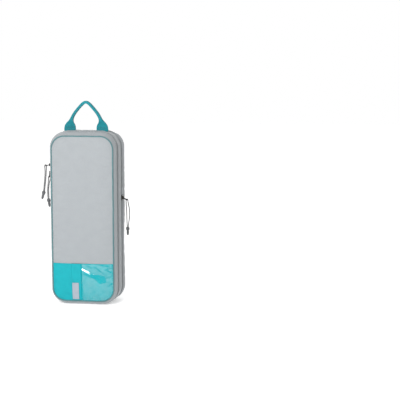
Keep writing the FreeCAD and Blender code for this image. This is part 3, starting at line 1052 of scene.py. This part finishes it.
def make_handle():
    """Webbing sewn flat at its feet and folded lengthwise for the grip."""
    stations = leg_stations + [(-x, z, a, d, -lean) for x, z, a, d, lean in reversed(leg_stations)]
    bm = bmesh.new()
    uv = bm.loops.layers.uv.new("cloth")
    run_layer = bm.verts.layers.float.new("run")
    angle_layer = bm.verts.layers.float.new("angle")
    ring = bmesh.ops.create_circle(bm, cap_ends=True, segments=40, radius=1)["verts"]
    edges = bm.edges[:]
    for vert in ring:
        vert[angle_layer] = math.atan2(vert.co.y, vert.co.x) % (2 * math.pi)
    run = 0.0
    last = None
    for x, z, across, deep, lean in stations:
        centre = Vector((x * MM + handle_shift, handle_y, handle_base + z * MM))
        if last is not None:
            run += (centre - last).length
            made = bmesh.ops.extrude_edge_only(bm, edges=edges)["geom"]
            ring = [g for g in made if isinstance(g, bmesh.types.BMVert)]
            fresh = set(ring)
            edges = [g for g in made if isinstance(g, bmesh.types.BMEdge) and set(g.verts) <= fresh]
        last = centre
        tilt = math.radians(lean)
        over = Vector((math.cos(tilt), 0, math.sin(tilt)))
        if x < 0:
            over = -over
        for vert in ring:
            u, v = webbing_section(vert[angle_layer], across, deep)
            vert.co = centre + over * (u * MM) + Vector((0, v * MM, 0))
            vert[run_layer] = run
    bmesh.ops.contextual_create(bm, geom=edges)
    for face in bm.faces:
        first = face.loops[0].vert[angle_layer]
        for loop in face.loops:
            angle = loop.vert[angle_layer]
            if angle - first > math.pi:
                angle -= 2 * math.pi
            elif first - angle > math.pi:
                angle += 2 * math.pi
            loop[uv].uv = (loop.vert[run_layer], angle * 4 * MM)
    bmesh.ops.recalc_face_normals(bm, faces=bm.faces[:])
    piece = finish_mesh(bm, "handle_webbing", materials["teal_webbing"])
    smoothed(piece)
    applied(piece)
    return put(piece, "handle", "teal_webbing", "handle_strap")


def make_handle_stitching():
    """Two bar tacks of slanting stitches on each foot, joined at both edges."""
    bm = bmesh.new()
    front = handle_y - 1.2 * MM
    low_tack, high_tack = 7.2 * MM, 11.6 * MM
    pitch, half_tack, edge_length = 0.78 * MM, 9.2 * MM, 1.8 * MM
    ahead, up = Vector((0, -1, 0)), Vector((0, 0, 1))
    for side in (-1, 1):
        centre_x = side * foot_x * MM + handle_shift
        for height in (low_tack, high_tack):
            spots = []
            for number in range(22):
                place = Vector((centre_x + (number - 10.5) * pitch, front, handle_base + height))
                lean = Vector((0.35 if number % 2 else -0.35, 0, 1)).normalized()
                spots.append((place, ahead, lean, 1.7 * MM))
            stitch_row(bm, spots, 0.5 * MM, 0.7 * MM)
        for x in (centre_x - half_tack, centre_x + half_tack):
            spots = []
            for number in range(2):
                z = handle_base + low_tack + 1.3 * MM + number * edge_length
                spots.append((Vector((x, front, z)), ahead, up, edge_length))
            stitch_row(bm, spots, 0.5 * MM, 0.6 * MM)
    piece = finish_small(bm, "handle_stitching", materials["thread"], 0.12 * MM)
    return put(piece, "handle", "thread", "handle_bartacks")


# ---------------------------------------------------------------- sliders and pulls

cord_diameter = 1.8 * MM
bail_length = 10.0 * MM
bail_pivot_out = 2.9 * MM

# Each pull: side, swell, depth of its zip, height, the bail's angle out from straight down, the stop's tilt.
pulls = {
    "upper": (-1, main_swell, main_zip_y, 296.5 * MM, 76.0, 15.0),
    "lower": (-1, main_swell, main_zip_y, 280.0 * MM, 10.0, -7.0),
    "compression": (1, squeeze_swell, squeeze_zip_y, 225.0 * MM, 60.0, 0.0),
}

# Each cord's route from its bail's outer bar, in millimetres: out and up, stop to bar to stop.
cord_routes = {
    "upper": [(3.2, -54.3), (2.0, -44.0), (0.3, -30.0), (-0.9, -15.5), (-1.5, -6.5), (-2.0, -2.2),
              (-2.0, 1.155), (0.0, 2.309), (2.0, 1.155), (2.0, -2.2), (1.5, -6.5), (1.3, -15.0),
              (2.5, -30.0), (4.1, -43.5), (5.2, -53.8)],
    "lower": [(1.8, -45.9), (1.9, -37.5), (2.4, -26.0), (0.9, -14.0), (-1.0, -6.2), (-2.0, -2.2),
              (-2.0, 1.155), (0.0, 2.309), (2.0, 1.155), (2.0, -2.2), (2.2, -6.0), (3.1, -14.5),
              (4.5, -26.0), (4.3, -37.0), (3.8, -46.15)],
    "compression": [(0.3, -58.0), (-0.4, -48.0), (-0.6, -34.0), (-1.0, -19.0), (-1.8, -8.0),
                    (-2.0, -2.6), (-2.0, 1.155), (0.0, 2.309), (2.0, 1.155), (2.0, -2.6), (3.0, -8.0),
                    (5.2, -19.0), (5.9, -34.0), (3.6, -47.5), (2.3, -58.0)],
}


def bar_place(name):
    """The centre of the outer bar of a pull's bail."""
    side, swell, zip_y, height, angle, _ = pulls[name]
    out = bail_pivot_out + bail_length * math.sin(math.radians(angle))
    return Vector((side * (half_width + swell + out), zip_y,
                   height - bail_length * math.cos(math.radians(angle))))


def make_cord(name):
    """The pull's cord: out of the stop, round the bail's bar and back."""
    side = pulls[name][0]
    bar = bar_place(name)
    points = [bar + Vector((side * out * MM, 0, up * MM)) for out, up in cord_routes[name]]
    curve = bpy.data.curves.new(name + "_pull_cord_line", "CURVE")
    curve.dimensions = "3D"
    spline = curve.splines.new("NURBS")
    spline.points.add(len(points) - 1)
    for point, place in zip(spline.points, points):
        point.co = (*place, 1)
    spline.order_u = 3
    spline.use_endpoint_u = True
    spline.resolution_u = 8
    curve.bevel_depth = cord_diameter / 2
    curve.bevel_resolution = 3
    curve.materials.append(materials["pull_cord"])
    cord = bpy.data.objects.new(name + "_pull_cord_line", curve)
    bpy.context.scene.collection.objects.link(cord)
    put(cord, name + "_pull", "pull_cord", name + "_pull_cord")
    return cord


def make_pull_end(name):
    """The moulded stop: shoulders, a waist and a ribbed, tapered tip."""
    side, *_, tilt = pulls[name]
    (first_out, first_up), *_, (last_out, last_up) = cord_routes[name]
    middle = Vector((side * (first_out + last_out) / 2, 0, (first_up + last_up) / 2))
    top = bar_place(name) + middle * MM
    profile = [(0.0, 0.1), (1.6, 0.1), (2.4, -0.1), (3.3, -0.8), (3.8, -2.0), (3.9, -3.4), (3.75, -5.2),
               (3.3, -6.6), (2.5, -7.8), (2.35, -8.6), (2.75, -9.4), (2.75, -10.2), (2.4, -10.8),
               (2.7, -11.4), (2.65, -12.2), (2.3, -12.8), (2.55, -13.4), (2.45, -14.4), (2.1, -16.0),
               (1.5, -17.5), (0.0, -18.0)]
    bm = bmesh.new()
    verts = [bm.verts.new((r * MM, 0, z * MM)) for r, z in profile]
    edges = [bm.edges.new(pair) for pair in zip(verts, verts[1:])]
    bmesh.ops.spin(bm, geom=verts + edges, axis=(0, 0, 1), cent=(0, 0, 0), angle=2 * math.pi, steps=28,
                   use_merge=True)
    bmesh.ops.remove_doubles(bm, verts=bm.verts[:], dist=0.01 * MM)
    bmesh.ops.scale(bm, vec=(1, 0.64, 1), verts=bm.verts[:])
    turn = Matrix.Rotation(math.radians(-side * tilt), 4, "Y")
    bmesh.ops.transform(bm, matrix=Matrix.Translation(top) @ turn, verts=bm.verts[:])
    bmesh.ops.recalc_face_normals(bm, faces=bm.faces[:])
    piece = finish_mesh(bm, name + "_pull_stop", materials["moulded_stop"])
    return put(piece, name + "_pull", "moulded_stop", name + "_pull_end")


def bevelled_copy(node, name, width, body, slot):
    """A cast piece with its edges rounded, from the frame's own shape."""
    bm = bmesh.new()
    bm.from_mesh(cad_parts[node].data)
    bmesh.ops.remove_doubles(bm, verts=bm.verts[:], dist=0.003 * MM)
    bmesh.ops.dissolve_limit(bm, angle_limit=math.radians(3), verts=bm.verts[:], edges=bm.edges[:])
    sharp = [e for e in bm.edges if len(e.link_faces) == 2 and e.calc_face_angle(0) > math.radians(35)]
    bmesh.ops.bevel(bm, geom=sharp, offset=width, offset_type="OFFSET", segments=2, profile=0.5,
                    affect="EDGES", clamp_overlap=True, material=-1)
    bmesh.ops.recalc_face_normals(bm, faces=bm.faces[:])
    piece = finish_mesh(bm, name, materials[slot])
    return put(piece, body, slot, node)


def make_slider(name):
    """A slider with its crown and bail, and the pull that hangs from it."""
    bevelled_copy(name + "_slider", name + "_slider_body", 0.28 * MM, name + "_slider", "gunmetal")
    bevelled_copy(name + "_slider_crown", name + "_slider_cap", 0.25 * MM, name + "_slider", "gunmetal")
    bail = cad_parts[name + "_pull_bail"]
    bail.data.materials.clear()
    bail.data.materials.append(materials["gunmetal"])
    end = make_pull_end(name)
    make_cord(name)


# ---------------------------------------------------------------- small cloth pieces


def make_garage():
    """A folded cloth hood that the compression slider parks against."""
    low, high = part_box("compression_zip_garage")
    size = high - low
    bm = bmesh.new()
    bmesh.ops.create_cube(bm, size=1)
    bmesh.ops.subdivide_edges(bm, edges=bm.edges[:], cuts=6, use_grid_fill=True)
    for vert in bm.verts:
        x, y, z = vert.co
        dome = (1 - (2 * y) ** 2 * 0.55) * (1 - max(0, z) ** 2 * 2.2)
        crumple = 0.12 * noise.noise(Vector((y * 4, z * 4, x * 2)))
        vert.co.x = -0.5 + (x + 0.5) * (dome + crumple)
    bmesh.ops.transform(bm, verts=bm.verts[:],
                        matrix=Matrix.Translation((low + high) / 2) @ Matrix.Diagonal((*size, 1)))
    uv = bm.loops.layers.uv.new("cloth")
    for face in bm.faces:
        for loop in face.loops:
            loop[uv].uv = (loop.vert.co.y, loop.vert.co.z)
    bmesh.ops.recalc_face_normals(bm, faces=bm.faces[:])
    piece = finish_mesh(bm, "zip_garage_cloth", materials["ripstop"])
    smoothed(piece)
    applied(piece)
    return put(piece, "rear_shell", "ripstop", "compression_zip_garage")


def dress_inner_nodes():
    """The bindings and tabs inside keep their own shape and get their finish."""
    inner = {"rear_seam_binding": "binding", "front_seam_binding": "binding", "main_zip_end_tabs": "tab"}
    for node, finish in inner.items():
        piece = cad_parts[node]
        piece.data.materials.clear()
        piece.data.materials.append(materials[finish])


def make_floor():
    """A plain pale floor, wide enough to reach the background."""
    bm = bmesh.new()
    bmesh.ops.create_grid(bm, x_segments=1, y_segments=1, size=6)
    material, _, shader = new_material("pale_floor", "#F7F7F7", 0.9)
    shader.inputs["Emission Color"].default_value = (1, 1, 1, 1)
    shader.inputs["Emission Strength"].default_value = 0.4
    floor = finish_mesh(bm, "floor", material, smooth=False)


# ---------------------------------------------------------------- putting it together

place_camera()
light_studio()
materials = make_materials()
make_floor()
for pull_name in pulls:
    make_slider(pull_name)

shell = stuffed_shell()
shell_tree = BVHTree.FromObject(shell, bpy.context.evaluated_depsgraph_get())
height_at = front_surface(shell_tree)
for part, (slot, body) in shell_parts.items():
    cut_part(shell, part, slot, body)
make_window(height_at)
make_strip(height_at)
make_label(height_at)
bpy.data.objects.remove(shell)

make_piping("front_piping_cord", front_seam_y, "lid", "front_piping")
make_piping("rear_piping_cord", rear_seam_y, "rear_shell", "rear_piping")
coil_teeth("main_coil_front_teeth", main_zip_y, -1, main_swell, "lid", "main_zip_coil_front", False)
coil_teeth("main_coil_rear_teeth", main_zip_y, 1, main_swell, "front_frame", "main_zip_coil_rear", False)
coil_teeth("squeeze_coil_front_teeth", squeeze_zip_y, -1, squeeze_swell, "front_frame",
           "compression_zip_coil_front", True)
coil_teeth("squeeze_coil_rear_teeth", squeeze_zip_y, 1, squeeze_swell, "rear_shell",
           "compression_zip_coil_rear", True)
stitch_y = zip_half + 1.3 * MM
ring_stitches("lid_gusset_stitches", main_zip_y - stitch_y, "lid", shell_tree)
ring_stitches("middle_gusset_front_stitches", main_zip_y + stitch_y, "front_frame", shell_tree)
ring_stitches("middle_gusset_rear_stitches", squeeze_zip_y - stitch_y, "front_frame", shell_tree)
ring_stitches("rear_gusset_stitches", squeeze_zip_y + stitch_y, "rear_shell", shell_tree)
make_expansion_fold()
make_handle()
make_handle_stitching()
make_garage()
dress_inner_nodes()
seam_stitches(height_at)
